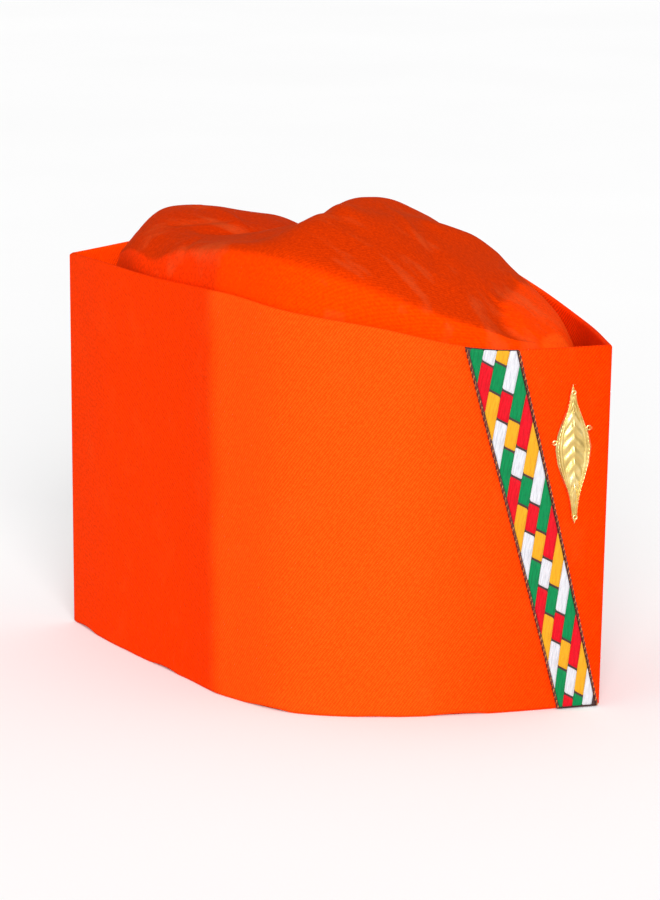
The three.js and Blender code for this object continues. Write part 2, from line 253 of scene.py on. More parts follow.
def capped(grid):
    """A grid whose rows are closed rings, and its faces with one more at each end."""
    rows, columns = grid.shape[:2]
    first = tuple(range(columns))
    last = tuple((rows - 1) * columns + k for k in reversed(first))
    return grid, grid_faces(grid, wrap_columns=True) + [first, last]


def smooth_round(points, passes):
    """Evens out a closed line, which rounds its two tips."""
    for _ in range(passes):
        points = (np.roll(points, 1, 0) + 2 * points + np.roll(points, -1, 0)) / 4
    return points


def closed_line(point_of, count):
    """x and y round the cap: the near wall from the rear tip on, then the far wall back."""
    along = gathered_steps(count)
    near = np.stack(point_of(NEAR, along), -1)
    far = np.stack(point_of(FAR, along[1:-1][::-1]), -1)
    return np.concatenate([near, far])


def side_shares(count):
    """0 on the near wall and 1 on the far wall, for the points of a closed line."""
    return np.concatenate([np.zeros(count + 1), np.ones(count - 1)])


def line_lengths(line):
    """Length of a line up to each of its points."""
    return np.concatenate([[0], np.cumsum(np.linalg.norm(np.diff(line, axis=0), axis=1))])


def wall_uvs(line, rise):
    """Flat cloth coordinates in millimetres: along the plan line of a wall, and up."""
    lengths = line_lengths(line)[:, None]
    return np.stack([np.broadcast_to(lengths, rise.shape), rise], -1) / MM


# Materials
class Look:
    def __init__(self, name):
        self.material = bpy.data.materials.new(name)
        self.material.use_nodes = True
        self.tree = self.material.node_tree
        self.tree.nodes.clear()
        self.shader = self.add("ShaderNodeBsdfPrincipled")
        output = self.add("ShaderNodeOutputMaterial")
        self.link(self.shader.outputs["BSDF"], output.inputs["Surface"])

    def add(self, kind, **values):
        node = self.tree.nodes.new(kind)
        for key, value in values.items():
            setattr(node, key, value)
        return node

    def link(self, source, target):
        self.tree.links.new(source, target)

    def paint(self, colour):
        self.link(colour, self.shader.inputs["Base Color"])

    def set(self, values):
        for name, value in values.items():
            self.shader.inputs[name].default_value = value

    def cloth_place(self):
        """The cloth's uv map in millimetres, whole and as its along and its up."""
        uv = self.add("ShaderNodeUVMap", uv_map="cloth").outputs["UV"]
        parts = self.add("ShaderNodeSeparateXYZ")
        self.link(uv, parts.inputs[0])
        return uv, parts.outputs["X"], parts.outputs["Y"]

    def math(self, operation, first, second=None, third=None):
        node = self.add("ShaderNodeMath", operation=operation)
        for index, value in enumerate((first, second, third)):
            if value is None:
                continue
            if isinstance(value, (int, float)):
                node.inputs[index].default_value = value
            else:
                self.link(value, node.inputs[index])
        return node.outputs[0]

    def noise(self, source, scale, detail=3.0, roughness=0.55):
        node = self.add("ShaderNodeTexNoise")
        self.link(source, node.inputs["Vector"])
        node.inputs["Scale"].default_value = scale
        node.inputs["Detail"].default_value = detail
        node.inputs["Roughness"].default_value = roughness
        return node.outputs["Fac"]

    def streaks(self, source, scale):
        """Noise drawn out along the axes with the lower scales."""
        node = self.add("ShaderNodeMapping")
        node.inputs["Scale"].default_value = scale
        self.link(source, node.inputs["Vector"])
        return self.noise(node.outputs["Vector"], 1.0, 3.0)

    def ramp(self, source, stops):
        """Colours at places from 0 to 1."""
        node = self.add("ShaderNodeValToRGB")
        self.link(source, node.inputs["Fac"])
        elements = node.color_ramp.elements
        while len(elements) < len(stops):
            elements.new(0.5)
        for element, (place, colour) in zip(elements, stops):
            element.position = place
            element.color = (*colour, 1)
        return node.outputs["Color"]

    def mix(self, share, first, second, blend="MIX"):
        node = self.add("ShaderNodeMix", data_type="RGBA", blend_type=blend)
        for name, value in (("Factor", share), ("A", first), ("B", second)):
            target = [s for s in node.inputs if s.name == name and s.enabled][0]
            if isinstance(value, (int, float)):
                target.default_value = value
            elif isinstance(value, tuple):
                target.default_value = (*value, 1)
            else:
                self.link(value, target)
        return [s for s in node.outputs if s.enabled][0]

    def bump(self, height, strength, distance):
        node = self.add("ShaderNodeBump")
        node.inputs["Strength"].default_value = strength
        node.inputs["Distance"].default_value = distance
        self.link(height, node.inputs["Height"])
        self.link(node.outputs["Normal"], self.shader.inputs["Normal"])


# Twill, in millimetres on the cloth's uv map
TWILL_PITCH = 0.95
TWILL_ANGLE = math.radians(54)
TWILL_WANDER = 0.8
YARNS_PER_RIB = 1.6
YARN_SHARE = 0.35
SHADE_BLUR = 10.0
MOTTLE_LOW, MOTTLE_HIGH = 0.4, 0.62
MOTTLE_TINT = (0.62, 0.5, 0.3)
MOTTLE_SHARE = 0.8
# Pale streaks of wear, which on the crown also stand for the sheen of its fuzz: partly painted
# sheen
WEAR_AND_SHEEN_STREAKS = (30.0, 110.0, 60.0)
WEAR_AND_SHEEN_LOW, WEAR_AND_SHEEN_HIGH = 0.55, 0.75
TWILL_BUMP = 0.1 * MM
TWILL_SURFACE = {
    "Roughness": 0.92,
    "Specular IOR Level": 0.03,
    "Specular Tint": (1.0, 0.5, 0.1, 1),
    "Sheen Weight": 0.03,
    "Sheen Roughness": 0.4,
    "Sheen Tint": (1.0, 0.3, 0.02, 1),
}
BLACK, WHITE = (0, 0, 0), (1.0, 1.0, 1.0)


def twill_weave(look, uv, along, up):
    """Height of the weave: diagonal ribs that wander a little, crossed by finer yarns."""
    across = look.math("MULTIPLY", along, math.sin(TWILL_ANGLE))
    ribs = look.math("MULTIPLY_ADD", up, -math.cos(TWILL_ANGLE), across)
    wander = look.noise(uv, 0.12, 2.0)
    ribs = look.math("MULTIPLY_ADD", wander, TWILL_WANDER, ribs)
    turn = TURN / TWILL_PITCH
    rib = look.math("SINE", look.math("MULTIPLY", ribs, turn))
    rise = look.math("MULTIPLY", up, math.sin(TWILL_ANGLE))
    yarns = look.math("MULTIPLY_ADD", along, math.cos(TWILL_ANGLE), rise)
    yarn = look.math("SINE", look.math("MULTIPLY", yarns, YARNS_PER_RIB * turn))
    return look.math("MULTIPLY_ADD", yarn, YARN_SHARE, rib)


def twill_shade(look, place, along, stops, light_panels):
    """Colour by place along the cloth, which on the cuff and crown is painted shade and light, with
    painted light over it on each named panel.
    """
    low, high = stops[0][0], stops[-1][0]
    broad = look.noise(place, 30.0, 3.0)
    back = look.math("SUBTRACT", along, SHADE_BLUR / 2)
    edge = look.math("MULTIPLY_ADD", broad, SHADE_BLUR, back)
    share = look.math("MULTIPLY", look.math("SUBTRACT", edge, low), 1 / (high - low))
    shade = look.ramp(share, [((x - low) / (high - low), colour) for x, colour in stops])
    for attribute, light_panel_stops in light_panels:
        mask = look.add("ShaderNodeAttribute", attribute_name=attribute).outputs["Fac"]
        shade = look.mix(mask, shade, look.ramp(share, light_panel_stops))
    return shade


def twill_look(name, stops, worn_and_sheen, worn_and_sheen_share, rib_share, light_panels=()):
    """Cotton twill: diagonal ribs of yarn, fuzz, slubs, a mottled dye and pale streaks of wear,
    which on the crown are partly painted sheen. The stops give the colour at places in millimetres
    along the cloth, painted shade and light on the cuff and crown. A light panel is an attribute of
    the mesh and its stops from 0 to 1 over the same reach, painted light on the faces it covers."""
    look = Look(name)
    uv, along, up = look.cloth_place()
    place = look.add("ShaderNodeTexCoord").outputs["Object"]
    weave = look.math("MULTIPLY", twill_weave(look, uv, along, up), rib_share)
    fuzz = look.noise(uv, 2.6, 4.0, 0.7)
    slub = look.noise(place, 700.0, 2.0)
    mottle = look.noise(uv, 0.85, 3.0, 0.7)
    light = look.math("MULTIPLY_ADD", fuzz, 0.35, look.math("MULTIPLY", slub, 0.2))
    light = look.math("MULTIPLY_ADD", mottle, 0.45, light)
    light = look.math("MULTIPLY_ADD", weave, 0.1, light)
    gain = look.ramp(light, [(MOTTLE_LOW, MOTTLE_TINT), (MOTTLE_HIGH, WHITE)])
    shade = twill_shade(look, place, along, stops, light_panels)
    colour = look.mix(MOTTLE_SHARE, shade, gain, "MULTIPLY")
    streaks = look.streaks(place, WEAR_AND_SHEEN_STREAKS)
    wear_and_sheen = look.ramp(streaks, [(WEAR_AND_SHEEN_LOW, BLACK), (WEAR_AND_SHEEN_HIGH, (worn_and_sheen_share,) * 3)])
    look.paint(look.mix(wear_and_sheen, colour, worn_and_sheen))
    look.set(TWILL_SURFACE)
    look.bump(look.math("MULTIPLY_ADD", fuzz, 1.4, weave), 0.6, TWILL_BUMP)
    return look.material


# Satin, in millimetres on the cloth's uv map
SATIN_PITCH = 0.32
SATIN_WANDER = 0.25
SATIN_BUMP = 0.08 * MM


def satin_look(name, base, shade):
    """Satin stitches: fine parallel threads lengthwise in each check, with a silky gloss."""
    look = Look(name)
    uv, across, _ = look.cloth_place()
    wander = look.noise(uv, 1.3, 2.0)
    thread = look.math("MULTIPLY_ADD", wander, SATIN_WANDER, across)
    wave = look.math("SINE", look.math("MULTIPLY", thread, TURN / SATIN_PITCH))
    tone = look.math("MULTIPLY_ADD", wave, 0.12, look.streaks(uv, (2.2, 0.2, 1.0)))
    look.paint(look.ramp(tone, [(0.32, shade), (0.58, base)]))
    look.set({"Roughness": 0.45, "Specular IOR Level": 0.12})
    look.bump(wave, 0.6, SATIN_BUMP)
    return look.material


def thread_look(name, base, dark):
    """Plain spun thread with a fine grain, for the ribbon's ground, its cords and the sewing."""
    look = Look(name)
    place = look.add("ShaderNodeTexCoord").outputs["Object"]
    grain = look.noise(place, 1400.0, 2.0)
    look.paint(look.ramp(grain, [(0.35, dark), (0.62, base)]))
    look.set({"Roughness": 0.55})
    look.bump(grain, 0.5, 0.1 * MM)
    return look.material


GILT_DARK = (0.42, 0.27, 0.06)
GILT_MIDDLE = (0.76, 0.55, 0.19)
GILT_BRIGHT = (0.95, 0.83, 0.46)


def gold_look(name):
    """Stamped gilt brass: bright high places, duller hollows, fine hammer grain."""
    look = Look(name)
    place = look.add("ShaderNodeTexCoord").outputs["Object"]
    grain = look.noise(place, 1500.0, 3.0)
    patches = look.noise(place, 260.0, 2.0)
    point = look.add("ShaderNodeNewGeometry").outputs["Pointiness"]
    high = look.math("MULTIPLY_ADD", patches, 0.35, look.math("SUBTRACT", point, 0.18))
    look.paint(look.ramp(high, [(0.3, GILT_DARK), (0.5, GILT_MIDDLE), (0.68, GILT_BRIGHT)]))
    look.set({"Metallic": 1.0})
    rough = look.math("MULTIPLY_ADD", grain, 0.25, 0.2)
    look.link(rough, look.shader.inputs["Roughness"])
    look.bump(grain, 0.35, 0.12 * MM)
    return look.material


# Stage: camera, floor and lights
CAMERA_AZIMUTH, CAMERA_ELEVATION = 33.3, 11.0
CAMERA_DISTANCE = 1.447
FRAME_LONG_SIDE = 900
FOCAL_PIXELS = 3947
CAMERA_TARGET = Vector((0.0015, 0.001, 0.0798)) + Vector(SHIFT)
FLOOR_REACH = 40.0
PAPER_DARK = (0.95, 0.95, 0.95)
PAPER_PALE = (0.97, 0.97, 0.97)
STUDIO_LIGHT = 0.64
KEY_AZIMUTH, KEY_ELEVATION = 36, 20
KEY_SPREAD = math.radians(28)
KEY_STRENGTH = 3.6
KEY_DISTANCE = 2.0


def aim(made, azimuth, elevation, distance, target):
    """Puts a camera or a light where it looks at the target, at its distance and at angles in
    degrees; azimuth 0 is on the side of -Y."""
    turn, rise = math.radians(azimuth), math.radians(elevation)
    level = math.cos(rise)
    direction = Vector((math.sin(turn) * level, -math.cos(turn) * level, math.sin(rise)))
    made.location = target + direction * distance
    made.rotation_mode = "QUATERNION"
    made.rotation_quaternion = (-direction).to_track_quat("-Z", "Y")
    bpy.context.collection.objects.link(made)


def make_camera():
    data = bpy.data.cameras.new("camera")
    data.sensor_width = 36
    data.lens = FOCAL_PIXELS / FRAME_LONG_SIDE * data.sensor_width
    camera = bpy.data.objects.new("camera", data)
    aim(camera, CAMERA_AZIMUTH, CAMERA_ELEVATION, CAMERA_DISTANCE, CAMERA_TARGET)
    bpy.context.scene.camera = camera


def make_floor():
    side = FLOOR_REACH
    corners = [(-side, -side, 0), (side, -side, 0), (side, side, 0), (-side, side, 0)]
    floor = mesh_object("floor", corners, [(0, 1, 2, 3)], smooth=False)
    look = Look("floor")
    place = look.add("ShaderNodeTexCoord").outputs["Object"]
    look.paint(look.ramp(look.noise(place, 3.0, 2.0), [(0.3, PAPER_DARK), (0.7, PAPER_PALE)]))
    look.set({"Roughness": 0.9})
    floor.data.materials.append(look.material)


def make_studio():
    """Even white light from all round, and one broad soft light from the near front side."""
    world = bpy.data.worlds.new("studio")
    world.use_nodes = True
    sky = world.node_tree.nodes["Background"]
    sky.inputs["Color"].default_value = (1.0, 1.0, 1.0, 1)
    sky.inputs["Strength"].default_value = STUDIO_LIGHT
    bpy.context.scene.world = world
    bpy.context.scene.view_settings.view_transform = "Standard"
    data = bpy.data.lights.new("key", "SUN")
    data.angle = KEY_SPREAD
    data.energy = KEY_STRENGTH
    key = bpy.data.objects.new("key", data)
    aim(key, KEY_AZIMUTH, KEY_ELEVATION, KEY_DISTANCE, Vector())


# Cuff
CUFF_STEPS = 210
CUFF_LEVELS = 56
EDGE_STEPS = 8
BEND_PLACE = -7 * MM
BEND_REACH = 24 * MM
BEND_RISE = 1.3 * MM
FAR_DIP = 2.6 * MM
FAR_DIP_PLACE = -42 * MM
FAR_DIP_REACH = 34 * MM
HEM_WAVE = 0.9 * MM
RIPPLE = 0.35 * MM
WALL_WAVES = (0.4 * MM, 47 * MM, 3.0)
WALL_HOLLOW = 0.5 * MM
FREE_SHARE = 0.94


def near_bend(x):
    """How far the near wall stands out at its upright bend, just behind the cap's middle."""
    return BEND_RISE * np.clip(1 - np.abs(x - BEND_PLACE) / BEND_REACH, 0, 1) ** 2


def cuff_relief(face_points, levels, wall):
    """How far the cloth stands out from the plain wall, for its outer face."""
    x = face_points[..., 0] - SHIFT[0]
    near = 1 - wall[:, None]
    drawn_up = face_points * np.array([1, 1, 0.4])
    waves = soft_noise(drawn_up, *WALL_WAVES)
    hollow = WALL_HOLLOW * near * bump_at(x / HALF_LENGTH, levels, (-0.5, 0.45), (0.3, 0.6))
    free = np.clip(1 - (np.abs(x / HALF_LENGTH) / FREE_SHARE) ** 8, 0, 1)
    return (waves + near * near_bend(x) - hollow) * free


def outward_of(line):
    """Outward normals of a closed plan line that runs near wall first, rear to front."""
    tangent = np.roll(line, -1, 0) - np.roll(line, 1, 0)
    normal = np.stack([tangent[:, 1], -tangent[:, 0]], -1)
    return normal / np.linalg.norm(normal, axis=1)[:, None]


def wall_levels(count):
    """Even levels, closer together at the hem and at the top."""
    even = np.linspace(0, 1, count)
    return (even + 0.5 - 0.5 * np.cos(math.pi * even)) / 2


def cuff_edges(outer, wall):
    """Heights of the cuff's top edge, which ripples, and of its hem, which waves a little."""
    top = np.where(wall > 0, cuff_top(FAR, outer[:, 0]), cuff_top(NEAR, outer[:, 0]))
    lengths = line_lengths(outer)
    ripple = RIPPLE * np.sin(lengths / (21 * MM)) * np.sin(lengths / (47 * MM) + 1)
    dip = FAR_DIP * np.exp(-(((outer[:, 0] - FAR_DIP_PLACE) / FAR_DIP_REACH) ** 2))
    swell = np.sin(lengths / (7.5 * MM)) * np.sin(lengths / (23 * MM) + 0.6)
    return top + ripple - wall * dip, HEM_WAVE * np.clip(swell, 0, 1)


def make_cuff():
    """A closed wall of cloth that is folded over at the top and turned in at the hem."""
    wall = side_shares(CUFF_STEPS)
    outer = smooth_round(closed_line(lambda s, a: plan_point(s, a, 0.0), CUFF_STEPS), 3)
    inner = smooth_round(closed_line(lambda s, a: plan_point(s, a, CUFF_THICKNESS), CUFF_STEPS), 2)
    normal = outward_of(outer)
    top, hem = cuff_edges(outer, wall)
    levels = wall_levels(CUFF_LEVELS)
    edge = CUFF_THICKNESS / 2
    z = edge + hem[:, None] + (top - 2 * edge - hem)[:, None] * levels
    points = leaned(outer[:, None, 0], outer[:, None, 1], z)
    relief = cuff_relief(points, levels[None, :], wall)
    points[..., :2] += normal[:, None] * relief[..., None]
    back = leaned(inner[:, None, 0], inner[:, None, 1], z)
    back[..., :2] += normal[:, None] * relief[..., None]
    top_fold = []
    foot_fold = []
    for angle in np.linspace(0, math.pi, EDGE_STEPS + 2)[1:-1]:
        share = (1 - math.cos(angle)) / 2
        lift = np.array([0, 0, edge * math.sin(angle)])
        top_fold.append(points[:, -1] * (1 - share) + back[:, -1] * share + lift)
        foot_fold.append(back[:, 0] * (1 - share) + points[:, 0] * share - lift)
    top_fold, foot_fold = np.stack(top_fold, 1), np.stack(foot_fold, 1)
    loop = np.concatenate([points, top_fold, back[:, ::-1], foot_fold], 1)
    rise = np.array([line_lengths(upright) for upright in loop])
    return mesh_object("cuff_cloth", loop, grid_faces(loop, True, True), wall_uvs(outer, rise))


# Crown
CROWN_STEPS = 260
CROWN_ACROSS = 170
SKIRT_STEPS = 10

# How crisply the crown turns down at its edges: a higher power stays level for longer
NEAR_SHOULDER, FAR_SHOULDER = 44, 6
REAR_SHOULDER, FRONT_SHOULDER = 7, 22

# Places on the crown are given along it, from -1 at the rear to 1 at the front, and across it,
# from -1 at the near edge to 1 at the far edge

# Creases and dimples: from one place to another, half their width as a share, and how far the
# cloth goes in (or out, where it is less than zero), in millimetres
CREASES = [
    ((0.78, 0.55), (0.86, -0.1), 0.035, 2.4),
    ((0.86, -0.1), (0.965, -0.95), 0.035, 3.6),
    ((0.92, 0.2), (0.975, -0.5), 0.025, -1.4),
    ((0.5, 0.2), (0.58, 0.7), 0.07, -2.6),
    ((-0.12, 0.45), (-0.2, -0.15), 0.08, 2.6),
    ((-0.14, 0.25), (-0.36, 0.75), 0.11, 3.6),
    ((0.07, -0.8), (0.12, -0.25), 0.1, 3.0),
    ((-0.3, 0.55), (-0.55, 0.96), 0.11, 2.4),
    ((-0.2, -0.15), (-0.42, -0.6), 0.07, 2.8),
    ((-0.72, -0.98), (-0.5, -0.98), 0.09, 5.5),
    ((-0.36, -0.8), (-0.34, -0.99), 0.03, 1.2),
    ((-0.9, 0.6), (-0.93, -0.6), 0.035, 2.6),
    ((-0.68, 0.05), (-0.3, -0.35), 0.05, -1.6),
    ((0.02, -0.3), (0.42, -0.5), 0.06, 1.2),
    ((0.3, 0.05), (0.54, -0.12), 0.035, -1.0),
    ((0.3, -0.2), (0.35, 0.7), 0.09, 3.0),
    ((-0.45, -0.3), (-0.62, -0.62), 0.04, 1.2),
    ((0.48, 0.1), (0.7, -0.35), 0.04, 1.0),
    ((-0.05, 0.7), (0.2, 0.5), 0.05, 1.1),
]

# Where the humps stand higher than the plain arch, or lower: how far in millimetres, the place,
# and the reach along and across
HUMPS = [
    (1.9, (0.17, 0.05), (0.12, 0.4)),
    (-2.1, (-0.66, 0.1), (0.13, 0.7)),
    (1.3, (-0.87, 0.1), (0.07, 0.7)),
]

# The crown's ends run out into the pockets as they go down: how far in millimetres, from which
# share of the way to the end on, which end, and over which depth in millimetres
END_FLARES = [(8.5, 0.6, 1, 11), (3.5, 0.86, -1, 9)]

# Wrinkles: height, size and seed
BROAD_WRINKLES = (0.7 * MM, 21 * MM, 7.0)
FINE_WRINKLES = (0.16 * MM, 9 * MM, 11.0)


def crease_depth(along, across):
    total = np.zeros_like(along)
    for start, end, width, depth in CREASES:
        line = np.subtract(end, start)
        share = ((along - start[0]) * line[0] + (across - start[1]) * line[1]) / line.dot(line)
        share = np.clip(share, 0, 1)
        away = np.hypot(along - start[0] - share * line[0], across - start[1] - share * line[1])
        fade = 0.55 + 0.45 * np.sin(math.pi * share)
        total += depth * fade * np.exp(-((away / width) ** 2))
    return total * MM


def crown_seat(along, across, x):
    """Height of the cuff's top edge, and between the walls a slope from one edge to the other."""
    near, far = cuff_top(NEAR, x), cuff_top(FAR, x)
    return (near + far) / 2 + across * rounded_end(along) * (far - near) / 2


def crown_top(along, across, x, lowered):
    """Height of the crown: an arch through its near, middle and far heights, with the humps
    and creases, that turns down to its seat round the edges."""
    share = (along + 1) / 2
    near, middle, far = (CROWN_RISE * column_at(CROWN[name], share) for name in CROWN)
    arch = (far + near) / 2 - middle
    puff = middle + across * ((far - near) / 2 + across * arch) + EDGE_DEPTH - lowered
    puff = puff - crease_depth(along, across) + hump_height(along, across)
    edge = crown_seat(along, across, x) - EDGE_DEPTH
    sides = shoulder(across, NEAR_SHOULDER, FAR_SHOULDER)
    return edge + puff * sides * shoulder(along, REAR_SHOULDER, FRONT_SHOULDER)


def shoulder(share, power_low, power_high):
    """1 in the middle and 0 at both ends, with a crisper turn for a higher power."""
    power = np.where(share < 0, power_low, power_high)
    return np.sqrt(np.clip(1 - np.abs(share) ** power, 0, 1))


def hump_height(along, across):
    return MM * sum(height * bump_at(along, across, *spot) for height, *spot in HUMPS)


def crown_steps():
    """Steps along and across the crown's top, closer together towards its edges."""
    along = np.sin(np.linspace(-0.5, 0.5, CROWN_STEPS + 1) * math.pi)
    across = np.sin(np.linspace(-0.5, 0.5, CROWN_ACROSS + 1) * math.pi)
    return along, across


def flare_ends(points, along, seat):
    """Draws the lower part of the crown's two ends out into the pockets."""
    for reach, start, way, drop in END_FLARES:
        near_end = np.clip((way * along - start) / (1 - start), 0, 1)[:, None] ** 2
        down = np.clip(1 + (seat[:, None] - points[..., 2]) / (drop * MM), 0, 1.6)
        points[..., 0] += way * reach * MM * near_end * down


def crown_sheet(inset, lowered):
    """Points of one face of the crown, from the near skirt over the top to the far skirt."""
    along, across = crown_steps()
    (near_x, near_y), (_, far_y) = (rounded_point(side, along, inset) for side in (NEAR, FAR))
    near_y = near_y - near_bend(near_x)
    middle, half = (near_y + far_y) / 2, (far_y - near_y) / 2
    y = middle[:, None] + half[:, None] * across
    x = np.broadcast_to(near_x[:, None], y.shape)
    lengthwise, crosswise = np.broadcast_arrays(along[:, None], across[None])
    z = crown_top(lengthwise, crosswise, x, lowered)
    sheet = leaned(x, y, z)
    wrinkle = soft_noise(sheet * np.array([1, 1.6, 1]), *BROAD_WRINKLES)
    wrinkle += soft_noise(sheet, *FINE_WRINKLES)
    free = rounded_end(crosswise) * rounded_end(lengthwise)
    sheet[..., 2] += wrinkle * free
    skirts = []
    for side, edge in ((NEAR, 0), (FAR, -1)):
        foot = crown_seat(along, side, near_x) - SKIRT_DEPTH
        rim = sheet[:, edge, 2]
        levels = np.linspace(0, 1, SKIRT_STEPS + 1)[:-1]
        height = foot[:, None] + (rim - foot)[:, None] * levels
        ends = y[:, edge]
        skirt = leaned(near_x[:, None], ends[:, None], height)
        skirts.append(skirt if side == NEAR else skirt[:, ::-1])
    whole = np.concatenate([skirts[0], sheet, skirts[1]], 1)
    flare_ends(whole, along, cuff_top(NEAR, near_x))
    return whole


# Edges of the crown's painted-light panels, lighter because they face the light: the near side band
# and rear end, the tuck that crosses the front end at a slant, and the painted highlight of the
# fold at the very front
SIDE_BAND_EDGE = -0.955
REAR_BAND_EDGE = -0.985
TUCK_ALONG = 0.85
TUCK_SLANT = -0.125
FOLD_EDGE = 0.988


def panel_masks():
    """Shares of the painted-light side band and ends and of the painted highlight on the fold, for
    the points of one face of the crown.
    """
    along, across = crown_steps()
    across = np.concatenate([np.full(SKIRT_STEPS, -1.0), across, np.full(SKIRT_STEPS, 1.0)])
    along, across = np.broadcast_arrays(along[:, None], across[None])
    tuck = TUCK_ALONG + TUCK_SLANT * across
    near = np.clip((SIDE_BAND_EDGE - across) / 0.02, 0, 1)
    front = np.clip((along - tuck + 0.005) / 0.03, 0, 1)
    rear = np.clip((REAR_BAND_EDGE - along) / 0.01, 0, 1)
    # Painted highlight: a thin strip along the front fold
    fold_highlight = np.clip((along - FOLD_EDGE) / 0.006, 0, 1)
    return {"lit_side_and_ends": np.maximum(np.maximum(near, front), rear), "fold_highlight": fold_highlight}


def sheet_uvs(sheet):
    """Flat cloth coordinates in millimetres, measured along and across a curved sheet."""
    steps = np.linalg.norm(np.diff(sheet, axis=1), axis=2)
    across = np.concatenate([np.zeros((len(sheet), 1)), np.cumsum(steps, 1)], 1)
    across -= across[:, -1:] / 2
    return np.stack([sheet[..., 0], across], -1) / MM


def make_crown():
    """The crown's cloth: an outer and an inner face, joined at the foot of the skirts."""
    skirt_inset = CUFF_THICKNESS + CLEARANCE
    outer = crown_sheet(skirt_inset, 0.0)
    inner = crown_sheet(skirt_inset + CROWN_THICKNESS, CROWN_THICKNESS)
    rows, columns = outer.shape[:2]
    faces = grid_faces(outer)
    count = rows * columns
    faces += [tuple(index + count for index in reversed(face)) for face in faces]
    for row in range(rows - 1):
        for column in (0, columns - 1):
            a, b = row * columns + column, (row + 1) * columns + column
            faces.append((a, a + count, b + count, b))
    uvs = [sheet_uvs(outer), sheet_uvs(inner)]
    shares = [(name, [mask, mask]) for name, mask in panel_masks().items()]
    return mesh_object("crown_cloth", [outer, inner], faces, uvs, shares)


# Inner band
BAND_STEPS = 120
BAND_LEVELS = 30


def make_band():
    """A closed wall inside the cuff that draws back from its tips as it goes up."""
    low_inset = CUFF_THICKNESS + CLEARANCE
    high_inset = low_inset + CROWN_THICKNESS + CLEARANCE
    wall = side_shares(BAND_STEPS)
    along = gathered_steps(BAND_STEPS)
    along = np.concatenate([along, along[1:-1][::-1]])
    side = np.where(wall > 0, FAR, NEAR)
    levels = np.linspace(0, 1, BAND_LEVELS)

    def face(depth):
        low = smooth_round(
            closed_line(lambda s, a: plan_point(s, a, low_inset + depth), BAND_STEPS), 2)
        high = closed_line(lambda s, a: rounded_point(s, a, high_inset + depth), BAND_STEPS)
        share = levels[None, :, None] ** 2
        plan = low[:, None] * (1 - share) + high[:, None] * share
        seat = crown_seat(along[:, None], side[:, None], plan[..., 0])
        z = levels[None] * (seat - SKIRT_DEPTH - CLEARANCE)
        rise = leaned(plan[..., 0], plan[..., 1], z)
        top = crown_seat(along, side, high[:, 0]) - SKIRT_DEPTH + CROWN_LAP
        last = leaned(high[:, 0], high[:, 1], top)
        return np.concatenate([rise, last[:, None]], 1)

    loop = np.concatenate([face(0.0), face(BAND_THICKNESS)[:, ::-1]], 1)
    uvs = wall_uvs(loop[:, 0, :2], loop[..., 2])
    return mesh_object("inner_band_cloth", loop, grid_faces(loop, True, True), uvs)


# What is on the near wall is placed by its setback, the length of wall from the front tip
def near_wall_table():
    x = SAMPLES[::-1]
    steps = np.hypot(np.diff(x), np.diff(half_width(NEAR, x)))
    return np.concatenate([[0], np.cumsum(steps)]), x


SETBACKS, SETBACK_PLACES = near_wall_table()


def on_near_wall(setback, height_share, standoff):
    """Points that stand out from the near wall's cloth, at shares of its height."""
    x = np.interp(setback, SETBACKS, SETBACK_PLACES)
    rise = slope(NEAR, x)
    outward = np.stack([-rise, -np.ones_like(rise)], -1)
    outward /= np.linalg.norm(outward, axis=-1)[..., None]
    points = leaned(x, -half_width(NEAR, x), height_share * cuff_top(NEAR, x))
    shape = points.shape[:-1]
    relief = cuff_relief(points.reshape(-1, 1, 3), np.reshape(height_share, (-1, 1)),
                         np.zeros(points.size // 3))
    reach = standoff + np.maximum(relief.reshape(shape), 0)
    points[..., :2] += outward * reach[..., None]
    return points


# Braid
BRAID_BASE = 0.15 * MM
BRAID_GROUND = 1.0 * MM
CHECK_PUFF = 0.38 * MM
CHECK_WIDTH, CHECK_LENGTH = 3.9, 10.4
FOOT_CLEARANCE = 0.4 * MM
RIBBON_ROWS, RIBBON_COLUMNS = 141, 17
CHECK_ROWS, CHECK_LANES = 25, 11
CHECK_COLUMNS = 15
CHECK_STEP = 0.0772
# The lattice of the checks, in shares of the ribbon's width and of its length down the wall:
# the long side and the top side of a check, where the first one starts, and the colours of the
# three checks in a row
CHECK_SIDE = np.array([-0.243, 0.079])
CHECK_TOP = np.array([0.1895, 0.0156])
CHECK_START = np.array([0.498, 0.0295 - 2 * CHECK_STEP])
CHECK_ROW_ENDS = [(-2.2, 0.0), (0.0, 1.0), (1.0, 2.9)]
CHECK_COLOURS = [
    ("green", "yellow", "green"),
    ("red", "white", "red"),
    ("yellow", "green", "yellow"),
    ("white", "red", "white"),
]
CHECK_GAP = 0.02
CHECK_SINK = 0.12 * MM
CORD_EDGE = 0.055
# Base and shaded colour of each satin
SATIN_COLOURS = {
    "white": ((0.6, 0.6, 0.63), (0.4, 0.4, 0.44)),
    "red": ((0.62, 0.002, 0.012), (0.42, 0.001, 0.006)),
    "green": ((0.0, 0.21, 0.06), (0.0, 0.13, 0.04)),
    "yellow": ((0.66, 0.32, 0.012), (0.52, 0.23, 0.008)),
}


def on_braid(across, down, standoff):
    """Points on the ribbon: across from its rear edge, down from the cuff's top edge."""
    across, down, standoff = np.broadcast_arrays(across, down, standoff)
    front = BRAID_TOP_SETBACK + (BRAID_FOOT_SETBACK - BRAID_TOP_SETBACK) * down
    width = BRAID_TOP_WIDTH + (BRAID_FOOT_WIDTH - BRAID_TOP_WIDTH) * down
    foot = FOOT_CLEARANCE / CUFF_HEIGHT
    return on_near_wall(front + width * (1 - across), 1 + (foot - 1) * down, standoff)


